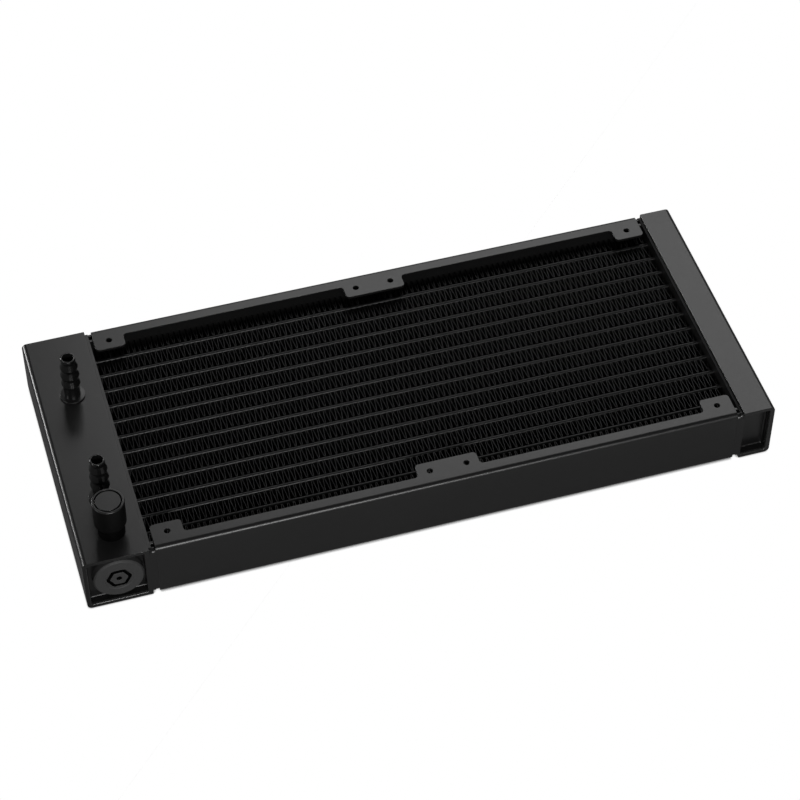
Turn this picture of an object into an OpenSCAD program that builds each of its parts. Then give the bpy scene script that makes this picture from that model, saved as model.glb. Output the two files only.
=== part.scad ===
// Liquid cooling radiator: two brazed tanks, a flat tube and corrugated fin core, two side frames with
// fan hole tabs, two hose barbs, a screw-down filler cap and a vented pressure relief bladder.
// Units are millimetres. The origin is at the middle of the footprint, on the bottom face: X runs along
// the length with the wide tank at -X, Y across the width and Z up, towards the barbs.

/* [Overall] */
// Length over both tanks
overall_length = 282; // [276:1:290]
// Width over the tanks and the side frames
overall_width = 120; // [119:0.5:124]
// Thickness of the body, without barbs and cap
body_thickness = 26.5; // [25:0.5:32]

/* [Sheet metal] */
// Thickness of the tank and frame sheet
sheet = 1.2; // [1:0.1:1.5]
// Outer radius of the sheet bends
bend_radius = 2; // [1.7:0.1:2.4]

/* [Tanks] */
// Width of the tank that carries the barbs
wide_tank_width = 26; // [25:0.5:28]
// Width of the return tank
narrow_tank_width = 13.2; // [12:0.2:16]
// How far the end caps sit back from the open tank ends
end_recess = 3.8; // [3.5:0.1:4.5]
// Thickness of the pressed end caps
end_sheet = 0.7; // [0.6:0.05:0.8]

/* [Fan mounting] */
// Hole spacing of one fan
fan_hole_spacing = 105; // [105]
// Distance between the nearest holes of the two fans
fan_hole_gap = 15; // [15]
// Diameter of the screw holes
screw_hole_diameter = 2.5; // [2.5:0.1:3.5]
// Width of the narrow part of each frame flange
flange_width = 5.6; // [5:0.1:6.5]
// Reach of the hole tabs beyond the hole centres
tab_reach = 4.5; // [4:0.1:5.5]
// Distance from a hole centre to the side of its tab
tab_side = 6.2; // [5:0.1:6.5]
// Gap between each header plate and the frame ends
frame_end_gap = 1.5; // [1.2:0.1:2]

/* [Core] */
// Spacing of the flat tubes
tube_pitch = 8.56; // [8.5:0.01:8.6]
// Thickness of a flat tube
tube_thickness = 1.7; // [1.5:0.1:2]
// Depth of a flat tube, through the core
tube_depth = 16.5; // [14:0.5:18]
// Wall of a flat tube
tube_wall = 0.3; // [0.25:0.05:0.4]
// Folds along one fin strip
fin_folds = 100; // [40:2:120]
// Thickness of the fin metal
fin_thickness = 0.16; // [0.12:0.02:0.24]

/* [Hose barbs] */
// Height of a barb above the tank
barb_height = 21.9; // [20:0.1:24]
// Largest diameter of the barb ridges
barb_diameter = 7.7; // [7.5:0.1:8.2]
// Diameter of the bore through a barb
barb_bore = 4.6; // [4:0.1:5]
// Position of the rear barb across the width
rear_barb_y = 26.8; // [24:0.1:30]
// Position of the front barb across the width
front_barb_y = -28.7; // [-30:0.1:-26]

/* [Filler] */
// Position of the filler across the width
filler_y = -46.5; // [-47.5:0.1:-45.5]
// Diameter of the cap
cap_diameter = 12.6; // [12.4:0.1:13.4]
// Height of the cap top above the tank
cap_top = 17.9; // [17.5:0.1:18.5]
// Diameter over the neck thread
neck_diameter = 9.2; // [9:0.1:9.4]
// Lift of the cap for one turn
thread_pitch = 1.5; // [1:0.25:1.5]

/* [Relief bladder] */
// Diameter of the bladder's round flange
relief_flange_diameter = 20; // [18:0.5:20]
// Width over the corners of the hexagonal recess
relief_recess_corners = 10.5; // [9:0.5:12]
// Width over the corners of the vent nut
vent_nut_corners = 7.3; // [6.5:0.1:8]
// Diameter of the vent hole
vent_hole_diameter = 2.2; // [1.5:0.1:2.5]

/* [Hidden] */
$fn = 48;
half_l = overall_length / 2;
half_w = overall_width / 2;
top = body_thickness;
mid_z = top / 2;
inner_radius = bend_radius - sheet;
cap_corner = 0.6;

// header plates stand against the open sides of the two tank shells
header_sheet = 1.2;
header_inset = 0.8;
wide_face = -half_l + wide_tank_width;
narrow_face = half_l - narrow_tank_width;
wide_core = wide_face + header_sheet;
narrow_core = narrow_face - header_sheet;
pattern_x = (wide_face + narrow_face) / 2;
wide_post = 1.9;
narrow_post = 0.4;
post_depth = 4.6;
stub_depth = 2.2;
stub_length = frame_end_gap - 0.02;

// side frames
frame_x0 = wide_core + frame_end_gap;
frame_x1 = narrow_core - frame_end_gap;
hole_y = fan_hole_spacing / 2;
hole_xs = [-fan_hole_gap / 2 - fan_hole_spacing, -fan_hole_gap / 2, fan_hole_gap / 2, fan_hole_gap / 2 + fan_hole_spacing];
tab_y = hole_y - tab_reach;
strip_y = half_w - flange_width;
tab_round = 1.6;

// core
tube_count = 12;
braze = 0.02;
fin_height = tube_pitch - tube_thickness - 2 * braze;
fin_depth = tube_depth - 0.4;
fin_x0 = wide_core + 0.4;
fin_x1 = narrow_core - 0.4;
tube_stickout = 1.5;
tube_x0 = wide_face - tube_stickout;
tube_x1 = narrow_face + tube_stickout;
core_y = (tube_count + 1) * tube_pitch / 2 - tube_thickness / 2;

// barbs and filler stand on this line of the wide tank
port_x = wide_face - 11.45;
spigot_r = 3.2;
spigot_drop = 1.8;
collar_r = 5.15;
collar_h = 0.7;
shank_r = 3.35;

// filler
cap_r = cap_diameter / 2;
cap_base = 5;
cap_bore_r = neck_diameter / 2 + 0.06;
neck_top = 14.6;
neck_bore_r = 3.3;
neck_base_r = 5.3;
neck_base_h = 4.7;
gasket_gap = 0.02;
gasket_h = 1;
disc_r = 4.9;
disc_h = 1.2;
disc_groove = 0.42;

// relief bladder
relief_x = -half_l + 13.6;
plate_front = -half_w + end_recess;
plate_back = plate_front + end_sheet;
relief_front = -half_w + 0.5;
bladder_r = 8;
bladder_end = -30;
bladder_wall = 1;
bladder_stem_r = 3;

coat = [0.12, 0.12, 0.13];
coat_light = [0.2, 0.2, 0.21];
core_black = [0.07, 0.07, 0.08];
rubber_black = [0.05, 0.05, 0.05];

// a rectangle from (x0, y0) to (x1, y1) with one radius at each corner
module rounded_rect(x0, y0, x1, y1, r) {
    translate([x0 + r, y0]) square([x1 - x0 - 2 * r, y1 - y0]);
    translate([x0, y0 + r]) square([x1 - x0, y1 - y0 - 2 * r]);
    for (x = [x0 + r, x1 - r], y = [y0 + r, y1 - r])
        translate([x, y]) circle(r);
}

// a sheet bent into a C, open towards +X, from (0, z0) to (depth, z1)
module c_section(depth, z0, z1) {
    difference() {
        intersection() {
            rounded_rect(0, z0, depth + 2 * bend_radius, z1, bend_radius);
            translate([0, z0]) square([depth, z1 - z0]);
        }
        rounded_rect(sheet, z0 + sheet, depth + 4 * bend_radius, z1 - sheet, inner_radius);
    }
}

// lays a flat drawing of X and Z along Y, from y0 to y1
module along_y(y0, y1) {
    translate([0, y1, 0]) rotate([90, 0, 0]) linear_extrude(y1 - y0) children();
}

// lays a flat drawing of Y and Z along X, from x0 to x1
module along_x(x0, x1) {
    translate([x0, 0, 0]) rotate([90, 0, 90]) linear_extrude(x1 - x0) children();
}

// ---- tanks ----

module tank_shell_section(width) {
    c_section(width, 0, top);
}

module wide_tank_shell() {
    color(coat) difference() {
        along_y(-half_w, half_w)
            translate([-half_l, 0]) tank_shell_section(wide_tank_width);
        for (y = [rear_barb_y, front_barb_y])
            translate([port_x, y, top - 2 * sheet]) cylinder(h = 4 * sheet, r = spigot_r);
        translate([port_x, filler_y, top - 2 * sheet]) cylinder(h = 4 * sheet, r = neck_bore_r + 1.2);
    }
}

module narrow_tank_shell() {
    color(coat) along_y(-half_w, half_w)
        translate([half_l, 0]) mirror([1, 0]) tank_shell_section(narrow_tank_width);
}

function tube_y(i) = (i - (tube_count + 1) / 2) * tube_pitch;

module stadium(depth, thickness) {
    r = thickness / 2;
    translate([-r, -depth / 2 + r]) square([thickness, depth - thickness]);
    for (s = [-1, 1])
        translate([0, s * (depth / 2 - r)]) circle(r);
}

// a header plate whose core side is at x = 0 and whose tank is towards -X
module header_plate(post) {
    difference() {
        along_x(-header_sheet, 0)
            rounded_rect(-half_w, header_inset, half_w, top - header_inset, bend_radius);
        along_x(-2 * header_sheet, header_sheet)
            for (i = [1 : tube_count])
                translate([tube_y(i), mid_z]) stadium(tube_depth + 2 * braze, tube_thickness + 2 * braze);
    }
    for (s = [0, 1]) mirror([0, s, 0]) {
        // folded edge inside the open tank end
        translate([-header_sheet - post, -half_w, sheet])
            cube([post, post_depth, top - 2 * sheet]);
        // short C that meets the side frame
        along_x(0, stub_length)
            translate([-half_w, 0]) c_section(stub_depth, sheet, top - sheet);
    }
}

module wide_header_plate() {
    color(coat) translate([wide_core, 0, 0]) header_plate(wide_post);
}

module narrow_header_plate() {
    color(coat) translate([narrow_core, 0, 0]) mirror([1, 0, 0]) header_plate(narrow_post);
}

// a pressed end cap between x0 and x1, seen from the front, with its rim turned outwards on three sides;
// tank_side is -1 where the shell's closed side is towards -X
module end_cap(x0, x1, tank_side) {
    xa = tank_side < 0 ? x0 : x0 - 4;
    xb = tank_side < 0 ? x1 + 4 : x1;
    ia = tank_side < 0 ? x0 + end_sheet : x0 - 4;
    ib = tank_side < 0 ? x1 + 4 : x1 - end_sheet;
    along_y(plate_front, plate_back) intersection() {
        rounded_rect(xa, sheet, xb, top - sheet, inner_radius);
        translate([x0, 0]) square([x1 - x0, top]);
    }
    along_y(-half_w, plate_front) intersection() {
        difference() {
            rounded_rect(xa, sheet, xb, top - sheet, inner_radius);
            rounded_rect(ia, sheet + end_sheet, ib, top - sheet - end_sheet, cap_corner);
        }
        translate([x0, 0]) square([x1 - x0, top]);
    }
}

module wide_end_cap() {
    end_cap(-half_l + sheet, wide_face - wide_post, -1);
}

module narrow_end_cap() {
    end_cap(narrow_face + narrow_post, half_l - sheet, 1);
}

module wide_tank_front_end() {
    color(coat) difference() {
        wide_end_cap();
        translate([relief_x, plate_front - 1, mid_z]) rotate([-90, 0, 0])
            cylinder(h = end_sheet + 2, r = bladder_stem_r);
    }
}

module wide_tank_rear_end() {
    color(coat) mirror([0, 1, 0]) wide_end_cap();
}

module narrow_tank_front_end() {
    color(coat) narrow_end_cap();
}

module narrow_tank_rear_end() {
    color(coat) mirror([0, 1, 0]) narrow_end_cap();
}

module tank_divider() {
    color("silver") along_y(-sheet / 2, sheet / 2) intersection() {
        rounded_rect(-half_l + sheet, sheet, wide_face + 4, top - sheet, inner_radius);
        translate([-half_l, 0]) square([wide_tank_width, top]);
    }
}

// ---- side frames ----

// a hole tab seen from above, between xa and xb, with rounded corners and filleted roots
module tab_outline(xa, xb) {
    intersection() {
        rounded_rect(xa, tab_y, xb, half_w, tab_round);
        translate([xa, tab_y]) square([xb - xa, strip_y + 1 - tab_y]);
    }
}

// the fillet between a tab's side at x and the strip, open towards side
module root_fillet(x, side) {
    difference() {
        translate([side > 0 ? x : x - tab_round, strip_y - tab_round]) square([tab_round, tab_round + 0.5]);
        translate([x + side * tab_round, strip_y - tab_round]) circle(tab_round);
    }
}

module flange_tabs() {
    tab_outline(frame_x0, pattern_x + hole_xs[0] + tab_side);
    root_fillet(pattern_x + hole_xs[0] + tab_side, 1);
    tab_outline(pattern_x + hole_xs[1] - tab_side + 1.1, pattern_x + hole_xs[2] + tab_side - 1.1);
    root_fillet(pattern_x + hole_xs[1] - tab_side + 1.1, -1);
    root_fillet(pattern_x + hole_xs[2] + tab_side - 1.1, 1);
    tab_outline(pattern_x + hole_xs[3] - tab_side, frame_x1);
    root_fillet(pattern_x + hole_xs[3] - tab_side, -1);
}

// the side frame at +Y; the other one is its mirror image
module side_frame() {
    difference() {
        union() {
            along_x(frame_x0, frame_x1)
                translate([half_w, 0]) mirror([1, 0]) c_section(flange_width, 0, top);
            for (z = [0, top - sheet])
                translate([0, 0, z]) linear_extrude(sheet) flange_tabs();
        }
        for (x = hole_xs)
            translate([pattern_x + x, hole_y, -1]) cylinder(h = top + 2, r = screw_hole_diameter / 2);
    }
}

module rear_side_frame() {
    color(coat_light) side_frame();
}

module front_side_frame() {
    color(coat_light) mirror([0, 1, 0]) side_frame();
}

// the flat plate that closes the core beside its outermost fin strip
module core_plate() {
    translate([wide_core, core_y, sheet])
        cube([narrow_core - wide_core, sheet, top - 2 * sheet]);
}

module rear_core_plate() {
    color(coat) core_plate();
}

module front_core_plate() {
    color(coat) mirror([0, 1, 0]) core_plate();
}

// ---- core ----

// a folded flat tube with a middle web, number i from the front
module flat_tube(i) {
    inner_depth = tube_depth - 2 * tube_wall;
    inner_thickness = tube_thickness - 2 * tube_wall;
    color(coat_light) along_x(tube_x0, tube_x1) translate([tube_y(i), mid_z]) {
        difference() {
            stadium(tube_depth, tube_thickness);
            stadium(inner_depth, inner_thickness);
        }
        translate([-inner_thickness / 2 - tube_wall / 2, -tube_wall / 2])
            square([inner_thickness + tube_wall, tube_wall]);
    }
}

fold = (fin_x1 - fin_x0) / fin_folds;
// half the flat that a fold has where it meets a tube
crest = fin_thickness * 0.6;
// how far the inside of a fold stays below its outside, so that the walls keep their thickness
fold_inside = (fin_thickness - crest) * fin_height / (fold / 2 + fin_thickness - 2 * crest);

// one fold adds a flat crest and a pointed inside to the upper edge, and the reverse to the lower edge
upper_edge = [for (k = [0 : fin_folds - 1]) for (p = [
    [fold * (k + 0.25) - crest, fin_height / 2],
    [fold * (k + 0.25) + crest, fin_height / 2],
    [fold * (k + 0.75), -fin_height / 2 + fold_inside]
]) p];
lower_edge = [for (k = [fin_folds - 1 : -1 : 0]) for (p = [
    [fold * (k + 0.75) + crest, -fin_height / 2],
    [fold * (k + 0.75) - crest, -fin_height / 2],
    [fold * (k + 0.25), fin_height / 2 - fold_inside]
]) p];

// a corrugated fin strip, number i from the front
module fin_strip(i) {
    color(core_black) translate([fin_x0, tube_y(i - 0.5), mid_z - fin_depth / 2])
        linear_extrude(fin_depth) polygon(concat(upper_edge, lower_edge));
}

// ---- hose barbs ----

ridge_r = barb_diameter / 2;

// the outside of a barb from its spigot inside the tank to its tip
barb_profile = [
    [barb_bore / 2, -spigot_drop],
    [spigot_r, -spigot_drop],
    [spigot_r, 0],
    [collar_r, 0],
    [collar_r, collar_h],
    [shank_r + 0.4, collar_h],
    [shank_r, collar_h + 0.4],
    [shank_r, 6.3],
    [ridge_r - 0.1, 7.2],
    [ridge_r, 7.6],
    [shank_r + 0.05, 10.2],
    [shank_r - 0.05, 11],
    [ridge_r - 0.15, 11.8],
    [ridge_r - 0.05, 12.2],
    [shank_r - 0.05, 14.8],
    [shank_r - 0.15, 15.6],
    [ridge_r - 0.4, 16.4],
    [ridge_r - 0.3, 16.8],
    [2.85, barb_height - 0.3],
    [2.6, barb_height],
    [barb_bore / 2, barb_height]
];

module hose_barb(y) {
    color(coat) translate([port_x, y, top]) rotate_extrude() polygon(barb_profile);
}

module rear_hose_barb() {
    hose_barb(rear_barb_y);
}

module front_hose_barb() {
    hose_barb(front_barb_y);
}

// ---- filler ----

module filler_neck() {
    color(coat) translate([port_x, filler_y, top]) rotate_extrude() polygon([
        [neck_bore_r, -spigot_drop],
        [neck_bore_r + 1.2, -spigot_drop],
        [neck_bore_r + 1.2, 0],
        [neck_base_r, 0],
        [neck_base_r, neck_base_h - 0.4],
        [neck_base_r - 0.4, neck_base_h],
        [neck_diameter / 2, neck_base_h],
        [neck_diameter / 2, neck_top - 0.4],
        [neck_diameter / 2 - 0.4, neck_top],
        [neck_bore_r, neck_top]
    ]);
}

module filler_gasket() {
    color(rubber_black) translate([port_x, filler_y, top + neck_top + gasket_gap]) difference() {
        cylinder(h = gasket_h, r = neck_diameter / 2 - 0.15);
        translate([0, 0, -1]) cylinder(h = gasket_h + 2, r = 2.2);
    }
}

module filler_cap() {
    roof = neck_top + gasket_gap + gasket_h + 0.03;
    color(rubber_black) translate([port_x, filler_y, top]) rotate_extrude() polygon([
        [cap_bore_r, cap_base],
        [cap_r - 0.8, cap_base],
        [cap_r, cap_base + 1.3],
        [cap_r, cap_top - 0.4],
        [cap_r - 0.3, cap_top],
        [disc_r + disc_groove, cap_top],
        [disc_r + disc_groove, cap_top - disc_h],
        [0, cap_top - disc_h],
        [0, roof],
        [cap_bore_r, roof]
    ]);
}

module filler_cap_disc() {
    color(coat_light) translate([port_x, filler_y, top]) rotate_extrude() polygon([
        [0, cap_top - disc_h],
        [disc_r, cap_top - disc_h],
        [disc_r, cap_top - 0.15],
        [disc_r - 0.15, cap_top],
        [0, cap_top]
    ]);
}

// ---- relief bladder ----

// a turned solid about an axis that points from the front of the relief fitting into the tank
module along_relief(front) {
    translate([relief_x, front, mid_z]) rotate([-90, 0, 0]) children();
}

// a round bag with a narrow stem in the end cap's hole, hollow up to its closed end
module relief_bladder() {
    bag_length = bladder_end - plate_back;
    color(rubber_black) along_relief(plate_front) rotate_extrude() polygon([
        [vent_hole_diameter / 2, 0],
        [bladder_stem_r, 0],
        [bladder_stem_r, end_sheet],
        [bladder_r - 2, end_sheet],
        [bladder_r, end_sheet + 2],
        [bladder_r, end_sheet + bag_length - 2],
        [bladder_r - 2, end_sheet + bag_length],
        [0, end_sheet + bag_length],
        [0, end_sheet + bag_length - bladder_wall],
        [bladder_r - 2.4, end_sheet + bag_length - bladder_wall],
        [bladder_r - bladder_wall, end_sheet + bag_length - 2.4],
        [bladder_r - bladder_wall, end_sheet + 2.4],
        [bladder_r - 2.4, end_sheet + bladder_wall],
        [vent_hole_diameter / 2, end_sheet + bladder_wall]
    ]);
}

module relief_flange() {
    flange_depth = plate_front - relief_front;
    recess_depth = flange_depth - 1;
    color(rubber_black) along_relief(relief_front) difference() {
        rotate_extrude() polygon([
            [0, 0.3],
            [0, flange_depth],
            [relief_flange_diameter / 2, flange_depth],
            [relief_flange_diameter / 2, 0.7],
            [relief_flange_diameter / 2 - 0.7, 0],
            [relief_recess_corners / 2 + 0.6, 0],
            [relief_recess_corners / 2 + 0.3, 0.3]
        ]);
        translate([0, 0, -1]) cylinder(h = recess_depth + 1, d = relief_recess_corners, $fn = 6);
        cylinder(h = flange_depth + 1, d = vent_hole_diameter);
    }
}

module vent_nut() {
    recess_depth = plate_front - relief_front - 1;
    color(coat_light) along_relief(relief_front + 0.1) difference() {
        cylinder(h = recess_depth - 0.1, d = vent_nut_corners, $fn = 6);
        translate([0, 0, -1]) cylinder(h = recess_depth + 2, d = vent_hole_diameter);
    }
}

wide_tank_shell();
wide_header_plate();
wide_tank_front_end();
wide_tank_rear_end();
tank_divider();
narrow_tank_shell();
narrow_header_plate();
narrow_tank_front_end();
narrow_tank_rear_end();
front_side_frame();
rear_side_frame();
front_core_plate();
rear_core_plate();
flat_tube(1);  // flat_tube_01
flat_tube(2);  // flat_tube_02
flat_tube(3);  // flat_tube_03
flat_tube(4);  // flat_tube_04
flat_tube(5);  // flat_tube_05
flat_tube(6);  // flat_tube_06
flat_tube(7);  // flat_tube_07
flat_tube(8);  // flat_tube_08
flat_tube(9);  // flat_tube_09
flat_tube(10);  // flat_tube_10
flat_tube(11);  // flat_tube_11
flat_tube(12);  // flat_tube_12
fin_strip(1);  // fin_strip_01
fin_strip(2);  // fin_strip_02
fin_strip(3);  // fin_strip_03
fin_strip(4);  // fin_strip_04
fin_strip(5);  // fin_strip_05
fin_strip(6);  // fin_strip_06
fin_strip(7);  // fin_strip_07
fin_strip(8);  // fin_strip_08
fin_strip(9);  // fin_strip_09
fin_strip(10);  // fin_strip_10
fin_strip(11);  // fin_strip_11
fin_strip(12);  // fin_strip_12
fin_strip(13);  // fin_strip_13
rear_hose_barb();
front_hose_barb();
filler_neck();
relief_bladder();
relief_flange();
vent_nut();
filler_gasket();
filler_cap();
filler_cap_disc();
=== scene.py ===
import math

import bmesh
import bpy
import numpy as np
from mathutils import Matrix, Vector


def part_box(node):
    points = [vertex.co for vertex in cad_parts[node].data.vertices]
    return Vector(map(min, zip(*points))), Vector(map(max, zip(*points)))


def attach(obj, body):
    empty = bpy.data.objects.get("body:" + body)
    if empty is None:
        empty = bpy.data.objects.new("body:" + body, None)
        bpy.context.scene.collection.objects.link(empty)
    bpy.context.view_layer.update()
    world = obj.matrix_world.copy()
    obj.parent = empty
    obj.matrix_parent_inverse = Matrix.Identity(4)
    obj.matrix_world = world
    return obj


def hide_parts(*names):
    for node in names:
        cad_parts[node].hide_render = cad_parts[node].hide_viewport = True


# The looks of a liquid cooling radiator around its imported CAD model. Metres, in the row frame: X along the
# length with the wide tank at -X, Y across the width, Z up towards the barbs.

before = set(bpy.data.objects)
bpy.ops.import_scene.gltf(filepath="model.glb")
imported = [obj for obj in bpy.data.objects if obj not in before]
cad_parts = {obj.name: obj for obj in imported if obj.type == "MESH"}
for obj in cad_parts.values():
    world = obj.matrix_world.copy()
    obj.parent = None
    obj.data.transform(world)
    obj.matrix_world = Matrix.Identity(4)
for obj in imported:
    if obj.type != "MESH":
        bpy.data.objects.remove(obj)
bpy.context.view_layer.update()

MM = 0.001
NEAR = 0.01 * MM
TUBES = 12
FINS = 13
SHEET = 1.2 * MM
HALF_L = -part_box("wide_tank_shell")[0].x
HALF_W = -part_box("wide_tank_shell")[0].y
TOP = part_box("wide_tank_shell")[1].z


# ---------------------------------------------------------------- materials

# the stretch of the noise's values that each layer spreads over its whole range
SPECKLE_BAND = (0.36, 0.66)
PATCH_BAND = (0.35, 0.65)
GLOSS_BAND = (0.3, 0.7)
# size of the coarse grain, in grains, and the fine grain's share of the relief
COARSE = 3.1
FINE_SHARE = 0.75
# size of the broad patches, and how dark they are beside the coating
PATCH_SIZE = 35 * MM
PATCH_SHADE = 0.55
# a rounded edge is lightened at least this much, by a thinner coat and a painted highlight, is this much less
# rough, and keeps this much of the relief
RUB_AND_HIGHLIGHT_LEAST = 0.35
RUB_POLISH = 0.12
RUB_RELIEF = 0.25


def node(tree, kind, inputs=None, **settings):
    """Adds a shader node. An input given as a socket is linked, and anything else is set as its value."""
    made = tree.nodes.new(kind)
    for key, value in settings.items():
        setattr(made, key, value)
    for key, value in (inputs or {}).items():
        if isinstance(value, bpy.types.NodeSocket):
            tree.links.new(value, made.inputs[key])
        else:
            made.inputs[key].default_value = value
    return made


def noise(tree, where, size, detail=2.0, rough=0.5):
    """Noise whose grains are about size metres across, from 0 to 1 with its middle near 0.5."""
    return node(
        tree,
        "ShaderNodeTexNoise",
        {"Vector": where, "Scale": 1 / size, "Detail": detail, "Roughness": rough},
    ).outputs["Fac"]


def remap(tree, value, band, to_low, to_high):
    """Spreads the band (low, high) of a value over to_low to to_high."""
    low, high = band
    return node(
        tree,
        "ShaderNodeMapRange",
        {"Value": value, "From Min": low, "From Max": high, "To Min": to_low, "To Max": to_high},
    ).outputs["Result"]


def math_node(tree, operation, a, b):
    return node(tree, "ShaderNodeMath", {0: a, 1: b}, operation=operation).outputs[0]


def mixed(tree, factor, a, b):
    """A colour from a to b."""
    made = node(tree, "ShaderNodeMix", {"Factor": factor}, data_type="RGBA")
    for socket, value in ((made.inputs[6], a), (made.inputs[7], b)):
        if isinstance(value, bpy.types.NodeSocket):
            tree.links.new(value, socket)
        else:
            socket.default_value = (*value, 1)
    return made.outputs[2]


def surface(
    name,
    colour,
    light,
    roughness,
    grain,
    relief,
    specular=0.5,
    metallic=0.0,
    worn_and_highlight=None,
    cloud=0.0,
):
    """A coated or moulded surface. colour to light is its fine speckle, grain the size of that speckle and
    relief its height, roughness its (low, high), worn_and_highlight the colour at rounded edges, lighter
    there for a thinner coat and a painted highlight, and cloud the depth of its broad patches."""
    material = bpy.data.materials.new(name)
    material.use_nodes = True
    tree = material.node_tree
    shader = tree.nodes["Principled BSDF"]
    where = node(tree, "ShaderNodeTexCoord").outputs["Object"]
    fine = noise(tree, where, grain, detail=3, rough=0.6)
    coarse = noise(tree, where, COARSE * grain)

    tint = mixed(tree, remap(tree, fine, SPECKLE_BAND, 0, 1), colour, light)
    if cloud:
        patch = remap(tree, noise(tree, where, PATCH_SIZE), PATCH_BAND, 0, cloud)
        tint = mixed(tree, patch, tint, tuple(PATCH_SHADE * c for c in colour))
    edge = node(tree, "ShaderNodeAttribute", attribute_name="edge").outputs["Fac"]
    # rounded edges: lighter in colour for a thinner coat and a painted highlight, and less rough
    rub_and_highlight = math_node(tree, "MULTIPLY", edge, remap(tree, coarse, PATCH_BAND, RUB_AND_HIGHLIGHT_LEAST, 1))
    if worn_and_highlight:
        tint = mixed(tree, rub_and_highlight, tint, worn_and_highlight)
    tree.links.new(tint, shader.inputs["Base Color"])

    gloss = remap(tree, coarse, GLOSS_BAND, *roughness)
    gloss = math_node(tree, "SUBTRACT", gloss, math_node(tree, "MULTIPLY", rub_and_highlight, RUB_POLISH))
    tree.links.new(gloss, shader.inputs["Roughness"])

    fine_height = math_node(tree, "MULTIPLY", fine, FINE_SHARE)
    coarse_height = math_node(tree, "MULTIPLY", coarse, 1 - FINE_SHARE)
    height = math_node(tree, "ADD", fine_height, coarse_height)
    height = math_node(tree, "MULTIPLY", height, remap(tree, edge, (0, 1), 1, RUB_RELIEF))
    bump = node(tree, "ShaderNodeBump", {"Height": height, "Distance": relief, "Strength": 1.0})
    tree.links.new(bump.outputs["Normal"], shader.inputs["Normal"])

    shader.inputs["Specular IOR Level"].default_value = specular
    shader.inputs["Metallic"].default_value = metallic
    return material


def grey(value):
    return (value, value, value)


LOOKS = {
    "tank_coat": surface(
        "tank_powder_coat", grey(0.0045), grey(0.0075), roughness=(0.28, 0.32),
        grain=0.30 * MM, relief=0.005 * MM, worn_and_highlight=grey(0.020), cloud=0.2,
    ),
    "frame_coat": surface(
        "frame_powder_coat", grey(0.0050), grey(0.0085), roughness=(0.29, 0.33),
        grain=0.28 * MM, relief=0.006 * MM, worn_and_highlight=grey(0.022), cloud=0.2,
    ),
    "tube_coat": surface(
        "tube_paint", grey(0.0025), grey(0.0045), roughness=(0.28, 0.34),
        grain=0.30 * MM, relief=0.003 * MM, specular=0.30, worn_and_highlight=grey(0.010),
    ),
    # near black, painted shade: the fins' legs inside the core and the filler neck under the cap
    "fin_coat": surface(
        "painted_shade_black_paint", grey(0.0007), grey(0.0014), roughness=(0.45, 0.55),
        grain=0.25 * MM, relief=0.004 * MM, specular=0.04, worn_and_highlight=grey(0.002),
    ),
    "fin_edge": surface(
        "fin_edge_paint", grey(0.0035), grey(0.0065), roughness=(0.36, 0.42),
        grain=0.25 * MM, relief=0.002 * MM, specular=0.38, worn_and_highlight=grey(0.008),
    ),
    "fitting_metal": surface(
        "fitting_coat", grey(0.0035), grey(0.0055), roughness=(0.17, 0.22),
        grain=0.30 * MM, relief=0.006 * MM, worn_and_highlight=grey(0.010),
    ),
    # the cap's own moulding, and also the dark look of painted shade on the narrow header's strip and in the
    # relief recess
    "cap_plastic": surface(
        "cap_moulding_and_shade", grey(0.0018), grey(0.0028), roughness=(0.42, 0.50),
        grain=0.22 * MM, relief=0.008 * MM, specular=0.12, worn_and_highlight=grey(0.004),
    ),
    "cap_disc": surface(
        "cap_disc_face", grey(0.0060), grey(0.0090), roughness=(0.28, 0.34),
        grain=0.26 * MM, relief=0.005 * MM, worn_and_highlight=grey(0.012),
    ),
    "rubber": surface(
        "moulded_rubber", grey(0.030), grey(0.042), roughness=(0.55, 0.70),
        grain=0.32 * MM, relief=0.020 * MM, specular=0.4, worn_and_highlight=grey(0.050),
    ),
    "bare_aluminium": surface(
        "bare_aluminium", grey(0.50), grey(0.62), roughness=(0.30, 0.45),
        grain=0.30 * MM, relief=0.01 * MM, metallic=1.0,
    ),
}


# ---------------------------------------------------------------- mesh helpers

# points nearer than this are one, and faces that meet at less than this are one flat face
WELD = 0.0005 * MM
FLAT = math.radians(0.3)
# a rounded corner takes no more than this share of the sides beside it
SIDE_SHARE = 0.49
NEARLY_STRAIGHT = math.radians(89)


def finish_mesh(name, bm, look, body, stands_for=(), sharp=32, weighted=True):
    """Makes a piece of a bmesh, riding on a body and standing for its CAD nodes. It is smooth, but edges that
    turn by more than sharp degrees stay sharp."""
    bmesh.ops.recalc_face_normals(bm, faces=bm.faces)
    mesh = bpy.data.meshes.new(name)
    bm.to_mesh(mesh)
    bm.free()
    mesh.materials.append(LOOKS[look])
    mesh.shade_smooth()
    mesh.set_sharp_from_angle(angle=math.radians(sharp))
    piece = bpy.data.objects.new(name, mesh)
    bpy.context.scene.collection.objects.link(piece)
    if weighted:
        modifier = piece.modifiers.new("flat faces", "WEIGHTED_NORMAL")
        modifier.keep_sharp = True
    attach(piece, body)
    if stands_for:
        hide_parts(*stands_for)
    return piece


def second_look(piece, look, chosen):
    """Gives a piece's chosen faces another look. chosen takes a face's centre and its normal."""
    piece.data.materials.append(LOOKS[look])
    for face in piece.data.polygons:
        if chosen(face.center, face.normal):
            face.material_index = 1


def from_node(name):
    """The CAD node's solid with each flat face whole."""
    bm = bmesh.new()
    bm.from_mesh(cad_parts[name].data)
    bmesh.ops.remove_doubles(bm, verts=bm.verts, dist=WELD)
    bmesh.ops.dissolve_limit(
        bm, angle_limit=FLAT, verts=bm.verts, edges=bm.edges, use_dissolve_boundaries=False
    )
    bmesh.ops.recalc_face_normals(bm, faces=bm.faces)
    return bm


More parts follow.
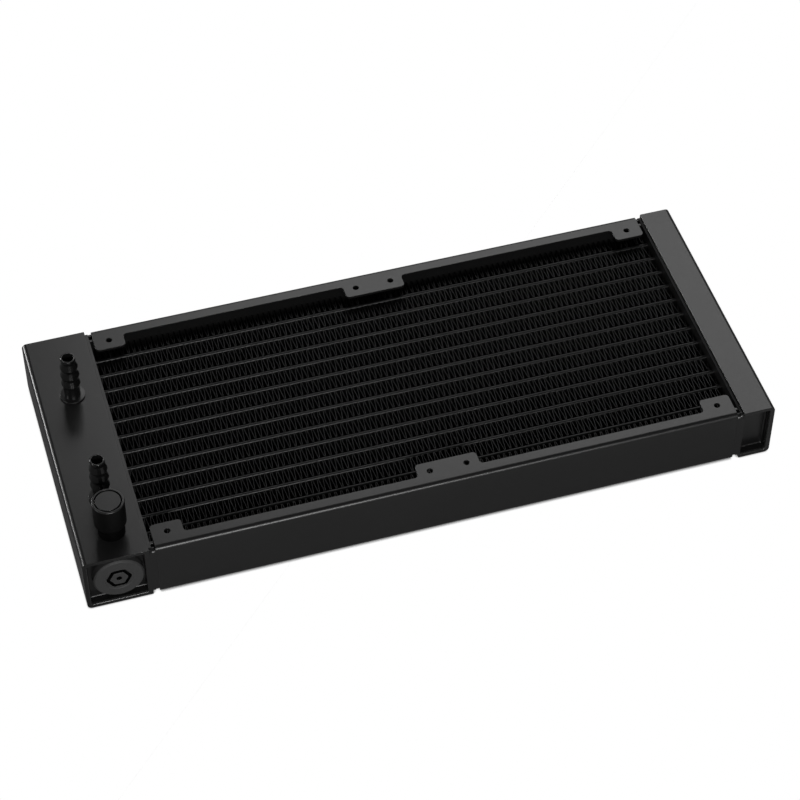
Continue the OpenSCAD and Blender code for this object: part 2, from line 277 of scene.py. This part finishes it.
def round_edges(bm, radius, segments=3, angle=32, hollow=False, chosen=None):
    """Rounds the edges that turn by more than angle degrees, outward ones or with hollow=True inward ones.
    The new faces of outward edges are marked in the face layer "edge"."""
    layer = bm.faces.layers.float.get("edge") or bm.faces.layers.float.new("edge")
    edges = []
    for e in bm.edges:
        if len(e.link_faces) != 2:
            continue
        turn = e.calc_face_angle_signed(0)
        if abs(turn) > math.radians(angle) and (turn < 0) == hollow and (chosen is None or chosen(e)):
            edges.append(e)
    made = bmesh.ops.bevel(
        bm, geom=edges, offset=radius, offset_type="OFFSET", segments=segments, profile=0.5, affect="EDGES",
        clamp_overlap=True,
    )
    if not hollow:
        for f in made["faces"]:
            f[layer] = 1.0
    return bm


def arc_corner(before, corner, after, radius, steps):
    """The points of a corner of a polyline rounded to a radius."""
    p, a, b = (np.array(v, float) for v in (corner, before, after))
    u, v = a - p, b - p
    lu, lv = np.linalg.norm(u), np.linalg.norm(v)
    u, v = u / lu, v / lv
    half = math.acos(max(-1.0, min(1.0, float(u @ v)))) / 2
    if radius <= 0 or half > NEARLY_STRAIGHT:
        return [tuple(p)]
    reach = min(radius / math.tan(half), SIDE_SHARE * lu, SIDE_SHARE * lv)
    radius = reach * math.tan(half)
    centre = p + (u + v) / np.linalg.norm(u + v) * (radius / math.sin(half))
    start, end = p + u * reach - centre, p + v * reach - centre
    a0 = math.atan2(start[1], start[0])
    turn = (math.atan2(end[1], end[0]) - a0 + math.pi) % (2 * math.pi) - math.pi
    angles = [a0 + turn * k / steps for k in range(steps + 1)]
    return [(centre[0] + radius * math.cos(a), centre[1] + radius * math.sin(a)) for a in angles]


def rounded(points, steps=5):
    """A closed outline from (x, y, radius) corners."""
    n = len(points)
    out = []
    for k in range(n):
        before, corner, after = points[k - 1], points[k], points[(k + 1) % n]
        out += arc_corner(before[:2], corner[:2], after[:2], corner[2], steps)
    return out


def circle(bm, radius, height, segments):
    """Vertices of a circle about Z, in millimetres. radius is a number, or a function of the angle."""
    made = []
    for k in range(segments):
        a = 2 * math.pi * k / segments
        r = radius(a) if callable(radius) else radius
        made.append(bm.verts.new((r * MM * math.cos(a), r * MM * math.sin(a), height * MM)))
    return made


def turned(profile, place, segments=96):
    """A solid of revolution from a closed (radius, height, corner radius) outline in millimetres, standing
    at place. A corner at radius 0 is on the axis."""
    bm = bmesh.new()
    rings = []
    for r, h in rounded(profile):
        if r < 1e-6:
            rings.append([bm.verts.new((0, 0, h * MM))])
        else:
            rings.append(circle(bm, r, h, segments))
    for k in range(len(rings)):
        a, b = rings[k], rings[(k + 1) % len(rings)]
        for i in range(segments):
            j = (i + 1) % segments
            loop = [a[i % len(a)], a[j % len(a)], b[j % len(b)], b[i % len(b)]]
            loop = list(dict.fromkeys(loop))
            if len(loop) > 2:
                bm.faces.new(loop)
    bmesh.ops.transform(bm, matrix=place, verts=bm.verts)
    return bm


def middle(name):
    """The middle of a CAD node's box."""
    low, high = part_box(name)
    return (low + high) / 2


def on_tank(name):
    """Where a fitting stands: on the axis of its CAD node, at the tank's top."""
    centre = middle(name)
    return Matrix.Translation((centre.x, centre.y, TOP))


# ---------------------------------------------------------------- tanks, header plates and side frames

# rounding of the shells' cut edges, at the open ends and elsewhere
SHELL_END_ROUND = 0.10 * MM
SHELL_ROUND = 0.25 * MM
SHELL_END_MARGIN = 0.15 * MM
# the end caps' fillet between rim and panel, and the rounding of the rim's lip, which is stretched along Y
END_FILLET = 0.52 * MM
LIP = 0.64 * MM
LIP_STRETCH = 1.6
LIP_DEPTH = 0.6 * MM
HEADER_ROUND = 0.12 * MM
HEADER_END = 4 * MM
FRAME_ROUND = 0.22 * MM
WALL_ROUND = 0.15 * MM
DIVIDER_ROUND = 0.1 * MM


def depth_in_tank(p):
    """How far a point is inside the inner faces of a tank shell's walls."""
    return min(p.z - SHEET, TOP - SHEET - p.z, HALF_L - SHEET - abs(p.x))


def at_tank_end(e):
    return all(abs(v.co.y) > HALF_W - NEAR for v in e.verts)


def open_end_edge(e):
    """True for an edge at a shell's open end, unless an end cap's rim is pressed against it."""
    return at_tank_end(e) and not all(depth_in_tank(v.co) > -NEAR for v in e.verts)


def clear_of_ends(e):
    return not any(abs(v.co.y) > HALF_W - SHELL_END_MARGIN for v in e.verts)


def rim_lip(e):
    """True for the front edge of an end cap's rim on the side of the recess."""
    return at_tank_end(e) and all(depth_in_tank(v.co) > LIP_DEPTH for v in e.verts)


for name in ("wide_tank_shell", "narrow_tank_shell"):
    bm = round_edges(from_node(name), SHELL_END_ROUND, 2, chosen=open_end_edge)
    bm = round_edges(bm, SHELL_ROUND, 4, 60, chosen=clear_of_ends)
    finish_mesh(name.replace("shell", "body"), bm, "tank_coat", "radiator", stands_for=[name])

for name in ("wide_tank_front_end", "wide_tank_rear_end", "narrow_tank_front_end", "narrow_tank_rear_end"):
    bm = round_edges(from_node(name), END_FILLET, 5, hollow=True)
    bm = round_edges(bm, LIP, 6, chosen=rim_lip)
    for v in bm.verts:
        setback = HALF_W - abs(v.co.y)
        if setback < LIP + NEAR:
            v.co.y = math.copysign(HALF_W - LIP_STRETCH * setback, v.co.y)
    finish_mesh(name + "_cap", bm, "tank_coat", "radiator", stands_for=[name])

for name in ("wide_header_plate", "narrow_header_plate"):
    bm = round_edges(from_node(name), HEADER_ROUND, 2)
    header = finish_mesh(name.replace("_plate", ""), bm, "tank_coat", "radiator", stands_for=[name])
    if name == "narrow_header_plate":
        # the strip beside the tank's top sheet is painted dark and dull as shade
        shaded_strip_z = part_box(name)[1].z - SHEET
        second_look(header, "cap_plastic", lambda c, _n: c.z > shaded_strip_z and abs(c.y) < HALF_W - HEADER_END)

for name in ("front_side_frame", "rear_side_frame"):
    bm = round_edges(from_node(name), FRAME_ROUND)
    finish_mesh(name.replace("_frame", "_channel"), bm, "frame_coat", "radiator", stands_for=[name])

for name in ("front_core_plate", "rear_core_plate"):
    bm = round_edges(from_node(name), WALL_ROUND)
    finish_mesh(name.replace("_plate", "_wall"), bm, "frame_coat", "radiator", stands_for=[name])

bm = round_edges(from_node("tank_divider"), DIVIDER_ROUND, 2)
finish_mesh("tank_partition", bm, "bare_aluminium", "radiator", stands_for=["tank_divider"])


# ---------------------------------------------------------------- flat tubes

TUBE_WALL = 0.3 * MM
TUBE_ARC_STEPS = 14
# the web is this much shorter than the tube, and reaches this much into its two walls together
WEB_MARGIN = 0.1 * MM


def stadium(depth, thickness):
    """Outline points (y, z) of a flat tube, whose two ends are round."""
    r = thickness / 2
    flat = depth / 2 - r
    out = []
    for sign in (1, -1):
        for k in range(TUBE_ARC_STEPS + 1):
            a = math.pi * k / TUBE_ARC_STEPS
            out.append((sign * r * math.cos(a), sign * (flat + r * math.sin(a))))
    return out


def flat_tube(name):
    """A folded flat tube, open at its ends, with the web of its fold inside."""
    low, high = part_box(name)
    size, centre = high - low, middle(name)
    size_of_web = (size.x - WEB_MARGIN, size.y - 2 * TUBE_WALL + WEB_MARGIN, TUBE_WALL)
    bm = bmesh.new()
    rings = []
    for wall in (0, TUBE_WALL):
        outline = stadium(size.z - 2 * wall, size.y - 2 * wall)
        for x in (low.x, high.x):
            rings.append([bm.verts.new((x, centre.y + p, centre.z + q)) for p, q in outline])
    n = len(rings[0])
    # the outside, the inside and the two end faces
    for a, b in ((0, 1), (3, 2), (2, 0), (1, 3)):
        for i in range(n):
            j = (i + 1) % n
            bm.faces.new((rings[a][i], rings[a][j], rings[b][j], rings[b][i]))
    web = bmesh.ops.create_cube(bm, size=1)["verts"]
    bmesh.ops.scale(bm, vec=size_of_web, verts=web)
    bmesh.ops.translate(bm, vec=centre, verts=web)
    return bm


for number in range(1, TUBES + 1):
    name = f"flat_tube_{number:02d}"
    finish_mesh(name.replace("flat", "core"), flat_tube(name), "tube_coat", "radiator", stands_for=[name])


# ---------------------------------------------------------------- fin strips

FOLDS = 100
FIN_SHEET = 0.13 * MM
CREST_RADIUS = 0.30 * MM
CREST_STEPS = 6
# the plain bands along a leg's top and bottom, and beside its crests, round the window of louvres
FIN_BAND = 1.4 * MM
FIN_MARGIN = 0.55 * MM
SLATS = 8
SLAT_TURN = math.radians(24)
# half a slat's width in slat pitches, and half its thickness in sheets
SLAT_WIDE = 0.46
SLAT_THICK = 0.42
SLAT_REACH = 0.04 * MM


def fold_line(length, height):
    """The middle line of a folded strip as points (x, y), and the number of each leg's first point."""
    period = length / FOLDS
    rise = height - FIN_SHEET - 2 * CREST_RADIUS
    reach = math.hypot(period / 2, rise)
    lean = math.acos(2 * CREST_RADIUS / reach) - math.atan2(rise, period / 2)
    foot_x = CREST_RADIUS * math.cos(math.pi - lean)
    foot_y = rise / 2 + CREST_RADIUS * math.sin(lean)
    points, legs = [(0.0, 0.0)], []
    for k in range(2 * FOLDS):
        side = 1 if k % 2 == 0 else -1
        cx, cy = period * (k + 0.5) / 2, side * rise / 2
        for s in range(CREST_STEPS + 1):
            a = math.pi - lean + (2 * lean - math.pi) * s / CREST_STEPS
            points.append((cx + CREST_RADIUS * math.cos(a), cy + side * CREST_RADIUS * math.sin(a)))
        if k < 2 * FOLDS - 1:
            here = np.array(points[-1])
            ahead = np.array((period * (k + 1.5) / 2 + foot_x, -side * foot_y))
            step = ahead - here
            step = step / np.linalg.norm(step) * FIN_MARGIN
            legs.append(len(points))
            points += [tuple(here + step), tuple(ahead - step)]
    points.append((length, 0.0))
    return np.array(points), legs


def sheet_mesh(line, legs, depth):
    """Vertices and quads of the folded sheet, with a window in each leg."""
    along = np.gradient(line, axis=0)
    along /= np.linalg.norm(along, axis=1)[:, None]
    across = np.stack([-along[:, 1], along[:, 0]], 1) * FIN_SHEET / 2
    levels = np.array([0.0, FIN_BAND, depth - FIN_BAND, depth])
    n, m = len(line), len(levels)
    verts = np.zeros((2, n, m, 3))
    for side, sign in ((0, 1), (1, -1)):
        verts[side, :, :, :2] = (line + sign * across)[:, None, :]
        verts[side, :, :, 2] = levels
    index = np.arange(2 * n * m).reshape(2, n, m)
    windows = set(legs)
    quads = []

    def rim(a, b):
        quads.append((index[0][a], index[0][b], index[1][b], index[1][a]))

    for i in range(n - 1):
        for j in range(m - 1):
            if i in windows and j == 1:
                continue
            quads.append((index[0, i, j], index[0, i, j + 1], index[0, i + 1, j + 1], index[0, i + 1, j]))
            quads.append((index[1, i, j], index[1, i + 1, j], index[1, i + 1, j + 1], index[1, i, j + 1]))
        rim((i, 0), (i + 1, 0))
        rim((i + 1, m - 1), (i, m - 1))
        if i in windows:
            rim((i + 1, 1), (i, 1))
            rim((i, 2), (i + 1, 2))
            rim((i, 1), (i, 2))
            rim((i + 1, 2), (i + 1, 1))
    for j in range(m - 1):
        rim((0, j + 1), (0, j))
        rim((n - 1, j), (n - 1, j + 1))
    return verts.reshape(-1, 3), quads


def slat_mesh(line, legs, depth, start):
    """Vertices and quads of the louvres in the windows. Their vertices are numbered from start."""
    pitch = (depth - 2 * FIN_BAND) / SLATS
    corners = [(s, w, t) for s in (0, 1) for w in (-1, 1) for t in (-1, 1)]
    box = [(0, 2, 3, 1), (4, 5, 7, 6), (0, 1, 5, 4), (2, 6, 7, 3), (0, 4, 6, 2), (1, 3, 7, 5)]
    verts, quads = [], []
    for leg in legs:
        p, q = line[leg], line[leg + 1]
        d = (q - p) / np.linalg.norm(q - p)
        normal = np.array([-d[1], d[0]])
        ends = (p - d * SLAT_REACH, q + d * SLAT_REACH)
        for k in range(SLATS):
            mid = FIN_BAND + pitch * (k + 0.5)
            turn = SLAT_TURN if k < SLATS / 2 else -SLAT_TURN
            quads += [tuple(start + len(verts) + c for c in face) for face in box]
            for s, w, t in corners:
                wide, thick = w * pitch * SLAT_WIDE, t * FIN_SHEET * SLAT_THICK
                up = wide * math.cos(turn) - thick * math.sin(turn)
                out = wide * math.sin(turn) + thick * math.cos(turn)
                x, y = ends[s] + normal * out
                verts.append((x, y, mid + up))
    return np.array(verts), quads


def fin_mesh(length, height, depth):
    """Vertices and quads of a folded strip with louvred legs, from (0, 0, 0) along X, in the middle of Y
    and from 0 to depth in Z."""
    line, legs = fold_line(length, height)
    sheet_verts, sheet_quads = sheet_mesh(line, legs, depth)
    slat_verts, slat_quads = slat_mesh(line, legs, depth, len(sheet_verts))
    quads = [tuple(int(i) for i in quad) for quad in sheet_quads + slat_quads]
    return np.concatenate([sheet_verts, slat_verts]), quads


def fin_strip(number, verts, quads):
    """One strip of the core. Its legs are near black, painted shade inside the core, and its cut edges, on
    top and below, are brighter.
    """
    name = f"fin_strip_{number:02d}"
    low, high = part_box(name)
    place = np.array((low.x, (low.y + high.y) / 2, low.z))
    mesh = bpy.data.meshes.new("core_fins")
    mesh.from_pydata((verts + place).tolist(), [], quads)
    mesh.materials.append(LOOKS["fin_coat"])
    mesh.shade_smooth()
    mesh.set_sharp_from_angle(angle=math.radians(35))
    piece = bpy.data.objects.new(f"core_fins_{number:02d}", mesh)
    bpy.context.scene.collection.objects.link(piece)
    second_look(piece, "fin_edge", lambda c, _n: c.z > high.z - NEAR or c.z < low.z + NEAR)
    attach(piece, "radiator")
    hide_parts(name)


FIN_LOW, FIN_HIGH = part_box("fin_strip_01")
fin_verts, fin_quads = fin_mesh(*(FIN_HIGH - FIN_LOW))
for number in range(1, FINS + 1):
    fin_strip(number, fin_verts, fin_quads)


# ---------------------------------------------------------------- hose barbs

# heights above the tank's top and radii are in millimetres, as they are for the other turned fittings
SPIGOT_FOOT = -1.8
COLLAR_TOP = 0.7
BARB_TOP = 21.9
BARB = [
    (2.3, SPIGOT_FOOT, 0.1), (3.2, SPIGOT_FOOT, 0.1), (3.2, -0.02, 0),
    (5.1, 0.0, 0), (5.1, COLLAR_TOP, 0.15), (3.3, COLLAR_TOP, 0.05),
    (3.3, 6.2, 0.6), (3.86, 7.6, 0.6), (3.15, 10.2, 0.7),
    (3.15, 11.0, 0.6), (3.84, 12.2, 0.6), (3.05, 14.8, 0.7),
    (3.05, 15.6, 0.6), (3.62, 16.9, 0.5), (2.7, 19.6, 0.6),
    (3.0, 20.7, 0.45), (2.95, BARB_TOP, 0.4), (2.3, BARB_TOP, 0.12),
]

for name in ("rear_hose_barb", "front_hose_barb"):
    barb = finish_mesh(
        name.replace("hose_barb", "barb"), turned(BARB, on_tank(name)), "fitting_metal", "radiator",
        stands_for=[name], weighted=False,
    )
    # the collar is coated with the tank
    second_look(barb, "tank_coat", lambda c, _n: c.z < TOP + (COLLAR_TOP + 0.02) * MM)


# ---------------------------------------------------------------- filler neck, gasket and cap

FILLER = on_tank("filler_neck")
THREAD_PITCH = 1.5
THREAD_ROOT = 4.12
THREAD_CREST = 4.6
THREAD_FROM, THREAD_TO = 5.6, 14.0
THREAD_FADE = 0.5
# share of the flank below the ridge, and share that the ridge takes to rise
RIDGE_FROM, RIDGE_RISE = 0.25, 0.45
NECK_SEGMENTS = 96
RINGS_PER_TURN = 14
NECK_BORE = 3.3
NECK_TOP = 14.6
NECK_FOOT = [
    (NECK_BORE, SPIGOT_FOOT), (4.5, SPIGOT_FOOT), (4.5, -0.02), (5.3, 0.0), (5.3, 4.3), (5.2, 4.55),
    (4.95, 4.7), (THREAD_ROOT, 4.7),
]
NECK_MOUTH = [
    (THREAD_ROOT, 14.35), (THREAD_ROOT - 0.1, 14.55), (3.9, NECK_TOP), (3.4, NECK_TOP), (NECK_BORE, 14.5),
]


def thread_radius(angle, height):
    """The radius of the thread at an angle and a height. It fades into the neck at both ends."""
    turns = (height / THREAD_PITCH - angle / (2 * math.pi)) % 1.0
    flank = 1 - abs(turns - 0.5) * 2
    ridge = min(1.0, max(0.0, (flank - RIDGE_FROM) / RIDGE_RISE))
    lead_in = max(0.0, (height - THREAD_FROM) / THREAD_FADE)
    lead_out = max(0.0, (THREAD_TO - height) / THREAD_FADE)
    return THREAD_ROOT + (THREAD_CREST - THREAD_ROOT) * ridge * min(1.0, lead_in, lead_out)


def threaded_neck():
    """The filler neck with its thread: the outside is a grid whose radius follows the helix."""
    bm = bmesh.new()
    rings = [circle(bm, r, h, NECK_SEGMENTS) for r, h in NECK_FOOT]
    for h in np.arange(THREAD_FROM - 0.5, THREAD_TO + 0.4, THREAD_PITCH / RINGS_PER_TURN):
        rings.append(circle(bm, lambda a, h=h: thread_radius(a, h), h, NECK_SEGMENTS))
    rings += [circle(bm, r, h, NECK_SEGMENTS) for r, h in NECK_MOUTH]
    for k in range(len(rings)):
        a, b = rings[k], rings[(k + 1) % len(rings)]
        for i in range(NECK_SEGMENTS):
            j = (i + 1) % NECK_SEGMENTS
            bm.faces.new((a[i], a[j], b[j], b[i]))
    bmesh.ops.transform(bm, matrix=FILLER, verts=bm.verts)
    return bm


# the neck is near black: painted shade under the cap's overhang
finish_mesh(
    "filler_thread_neck", threaded_neck(), "fin_coat", "radiator",
    stands_for=["filler_neck"], weighted=False,
)

GASKET_LOW, GASKET_HIGH = 14.62, 15.62
GASKET = [
    (2.2, GASKET_LOW, 0.2), (4.45, GASKET_LOW, 0.2), (4.45, GASKET_HIGH, 0.2), (2.2, GASKET_HIGH, 0.2),
]
finish_mesh(
    "filler_seal_ring", turned(GASKET, FILLER), "rubber", "cap_seal", stands_for=["filler_gasket"],
    weighted=False,
)

CAP_SEGMENTS = 128
CAP_FOOT = 5.0
CAP_TOP = 17.9
DISC_SEAT = 16.7
CAP_ROOF = 15.65
RIM_DEPTH = 0.5
CAP = [
    (4.66, CAP_FOOT, 0.1), (5.5, CAP_FOOT, 0.25), (6.3, 6.3, 0.9), (6.3, CAP_TOP, 0.45),
    (5.4, CAP_TOP, 0.12), (5.4, DISC_SEAT, 0.05), (0, DISC_SEAT, 0),
    (0, CAP_ROOF, 0), (4.66, CAP_ROOF, 0.15),
]
DISC = [(0, DISC_SEAT, 0), (4.86, DISC_SEAT, 0.05), (4.86, CAP_TOP, 0.16), (0, CAP_TOP, 0)]

cap = finish_mesh(
    "filler_screw_cap", turned(CAP, FILLER, CAP_SEGMENTS), "cap_plastic", "cap", stands_for=["filler_cap"]
)
# the top of the cap's rim has the finish of the disc
second_look(cap, "cap_disc", lambda c, _n: c.z > TOP + (CAP_TOP - RIM_DEPTH) * MM)
finish_mesh(
    "filler_cap_insert", turned(DISC, FILLER, CAP_SEGMENTS), "cap_disc", "cap",
    stands_for=["filler_cap_disc"],
)


# ---------------------------------------------------------------- relief fitting

RECESS_CORNER = 0.9 * MM
NUT_CORNER = 0.5 * MM
RELIEF_ROUND = 0.16 * MM
# the insides, painted dark as shade: what is nearer to the axis than this, and how far they start behind the
# two faces
RECESS_INSIDE = 5.3 * MM
VENT_INSIDE = 1.15 * MM
PAINTED_SHADE_FRONT, PAINTED_SHADE_BACK = 0.35 * MM, 0.1 * MM
RELIEF_FRONT, RELIEF_BACK = (corner.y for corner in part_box("relief_flange"))
RELIEF_AXIS = middle("relief_flange")


def along_width(e):
    """True for an edge that runs along Y."""
    run = e.verts[1].co - e.verts[0].co
    return abs(run.y) > 0.999 * run.length


def in_painted_shade(c, within):
    """True for a place behind the flange's front face and nearer than within to its axis."""
    reach = math.hypot(c.x - RELIEF_AXIS.x, c.z - RELIEF_AXIS.z)
    return RELIEF_FRONT + PAINTED_SHADE_FRONT < c.y < RELIEF_BACK - PAINTED_SHADE_BACK and reach < within


bm = round_edges(from_node("relief_flange"), RECESS_CORNER, 4, hollow=True, chosen=along_width)
bm = round_edges(bm, RELIEF_ROUND, 3, 25)
flange = finish_mesh("relief_flange_ring", bm, "rubber", "radiator", stands_for=["relief_flange"], sharp=28)
# the recess's insides are painted dark as shade
second_look(flange, "cap_plastic", lambda c, _n: in_painted_shade(c, RECESS_INSIDE))

bm = round_edges(from_node("vent_nut"), NUT_CORNER, 4, chosen=along_width)
bm = round_edges(bm, RELIEF_ROUND)
nut = finish_mesh("vent_hex_nut", bm, "rubber", "radiator", stands_for=["vent_nut"], sharp=28)
# the vent hole and the nut's sides inside the recess are painted dark as shade
second_look(
    nut, "cap_plastic",
    lambda c, n: in_painted_shade(c, VENT_INSIDE) or (in_painted_shade(c, RECESS_INSIDE) and n.y > -0.3),
)

bm = from_node("relief_bladder")
finish_mesh("relief_bag", bm, "rubber", "radiator", stands_for=["relief_bladder"], sharp=50)


# ---------------------------------------------------------------- floor

FLOOR = 30.0
FLOOR_Z = -0.0001
# the floor that the radiator mirrors is darker beyond its left end
DARK_FLOOR, PALE_FLOOR = 0.12, 0.42
FLOOR_FADE = (-0.16, -0.12)
# the camera sees it white, with a painted contact shadow, a thin dark line this far round the radiator
CONTACT = 1.5 * MM
CONTACT_BAND = (0.15, 0.75)
CONTACT_SHADE = 0.05


def paper():
    """Matt paper for what the radiator mirrors, and white for the camera, with a painted contact shadow round
    the radiator.
    """
    material = bpy.data.materials.new("pale_paper")
    material.use_nodes = True
    tree = material.node_tree
    shader = tree.nodes["Principled BSDF"]
    where = node(tree, "ShaderNodeTexCoord").outputs["Object"]
    along = node(tree, "ShaderNodeSeparateXYZ", {0: where}).outputs["X"]
    tone = remap(tree, along, FLOOR_FADE, DARK_FLOOR, PALE_FLOOR)
    tree.links.new(mixed(tree, tone, grey(0), grey(1)), shader.inputs["Base Color"])
    shader.inputs["Roughness"].default_value = 0.9
    shader.inputs["Specular IOR Level"].default_value = 0.1
    # painted contact shadow: the white darkens where the floor meets the radiator
    nook = node(tree, "ShaderNodeAmbientOcclusion", {"Distance": CONTACT}, samples=8).outputs["AO"]
    shade = remap(tree, nook, CONTACT_BAND, CONTACT_SHADE, 1.0)
    white = node(tree, "ShaderNodeEmission", {"Color": (1, 1, 1, 1), "Strength": shade}).outputs[0]
    seen = node(tree, "ShaderNodeLightPath").outputs["Is Camera Ray"]
    both = node(tree, "ShaderNodeMixShader", {0: seen, 1: shader.outputs[0], 2: white}).outputs[0]
    tree.links.new(both, tree.nodes["Material Output"].inputs["Surface"])
    return material


floor_mesh = bpy.data.meshes.new("studio_floor")
floor_corners = [(-FLOOR, -FLOOR), (FLOOR, -FLOOR), (FLOOR, FLOOR), (-FLOOR, FLOOR)]
floor_mesh.from_pydata([(x, y, FLOOR_Z) for x, y in floor_corners], [], [(0, 1, 2, 3)])
floor_mesh.materials.append(paper())
floor = bpy.data.objects.new("studio_floor", floor_mesh)
bpy.context.scene.collection.objects.link(floor)


# ---------------------------------------------------------------- lights

LAMP_AIM = Vector((0, 0, 0.01))
# what the radiator mirrors of the surroundings, from the horizon up to this height of the unit sphere
HORIZON_GLOW, ZENITH_GLOW = 0.20, 0.08
GLOW_BAND = (0.0, 0.8)


def soft_lamp(name, azimuth, elevation, distance, width, height, watts):
    """A rectangular lamp that faces the object, which sees it at that azimuth (0 is +Y, 90 is +X) and
    elevation."""
    data = bpy.data.lights.new(name, "AREA")
    data.shape = "RECTANGLE"
    data.size, data.size_y = width, height
    data.energy = watts
    lamp = bpy.data.objects.new(name, data)
    bpy.context.scene.collection.objects.link(lamp)
    a, e = math.radians(azimuth), math.radians(elevation)
    away = Vector((math.sin(a) * math.cos(e), math.cos(a) * math.cos(e), math.sin(e)))
    lamp.location = LAMP_AIM + away * distance
    lamp.rotation_mode = "QUATERNION"
    lamp.rotation_quaternion = away.to_track_quat("Z", "Y")


# the first lights the tops, the second the near bends, the third the left bend and the barbs' left sides
soft_lamp("rear_softbox", 28, 44, distance=1.5, width=1.1, height=0.6, watts=4.9)
soft_lamp("front_softbox", 184, 26, distance=1.6, width=0.9, height=0.35, watts=15.0)
soft_lamp("rear_left_strip", 316, 6, distance=1.3, width=0.45, height=0.2, watts=6.3)
soft_lamp("left_strip", 262, 30, distance=1.3, width=0.4, height=0.25, watts=3.2)
soft_lamp("right_strip", 98, 25, distance=1.3, width=0.7, height=0.25, watts=0.8)

world = bpy.data.worlds.new("studio")
bpy.context.scene.world = world
world.use_nodes = True
sky = world.node_tree
sky.nodes.clear()
direction = node(sky, "ShaderNodeTexCoord").outputs["Generated"]
up = node(sky, "ShaderNodeSeparateXYZ", {0: direction}).outputs["Z"]
glow = remap(sky, up, GLOW_BAND, HORIZON_GLOW, ZENITH_GLOW)
camera_ray = node(sky, "ShaderNodeLightPath").outputs["Is Camera Ray"]
# the camera itself sees white
glow = node(sky, "ShaderNodeMix", {"Factor": camera_ray, "A": glow, "B": 1.0}, data_type="FLOAT").outputs[0]
background = node(sky, "ShaderNodeBackground", {"Color": (1, 1, 1, 1), "Strength": glow})
sky.links.new(background.outputs[0], node(sky, "ShaderNodeOutputWorld").inputs["Surface"])


# ---------------------------------------------------------------- camera

EYE = Vector((-0.19525, -0.66132, 0.77124))
AHEAD = Vector((0.19254, 0.64409, -0.74032)).normalized()
RIGHT = Vector((0.95801, -0.28673, -0.0003)).normalized()
ABOVE = RIGHT.cross(AHEAD).normalized()
SENSOR_MM = 36
LENS_MM = 113.135

camera_data = bpy.data.cameras.new("photo_camera")
camera_data.sensor_width = SENSOR_MM
camera_data.lens = LENS_MM
camera_data.clip_start, camera_data.clip_end = 0.01, 100
camera = bpy.data.objects.new("photo_camera", camera_data)
bpy.context.scene.collection.objects.link(camera)
bpy.context.scene.camera = camera
camera.rotation_mode = "QUATERNION"
camera.rotation_quaternion = Matrix((RIGHT, ABOVE, -AHEAD)).transposed().to_quaternion()
camera.location = EYE

bpy.context.scene.view_settings.view_transform = "Standard"
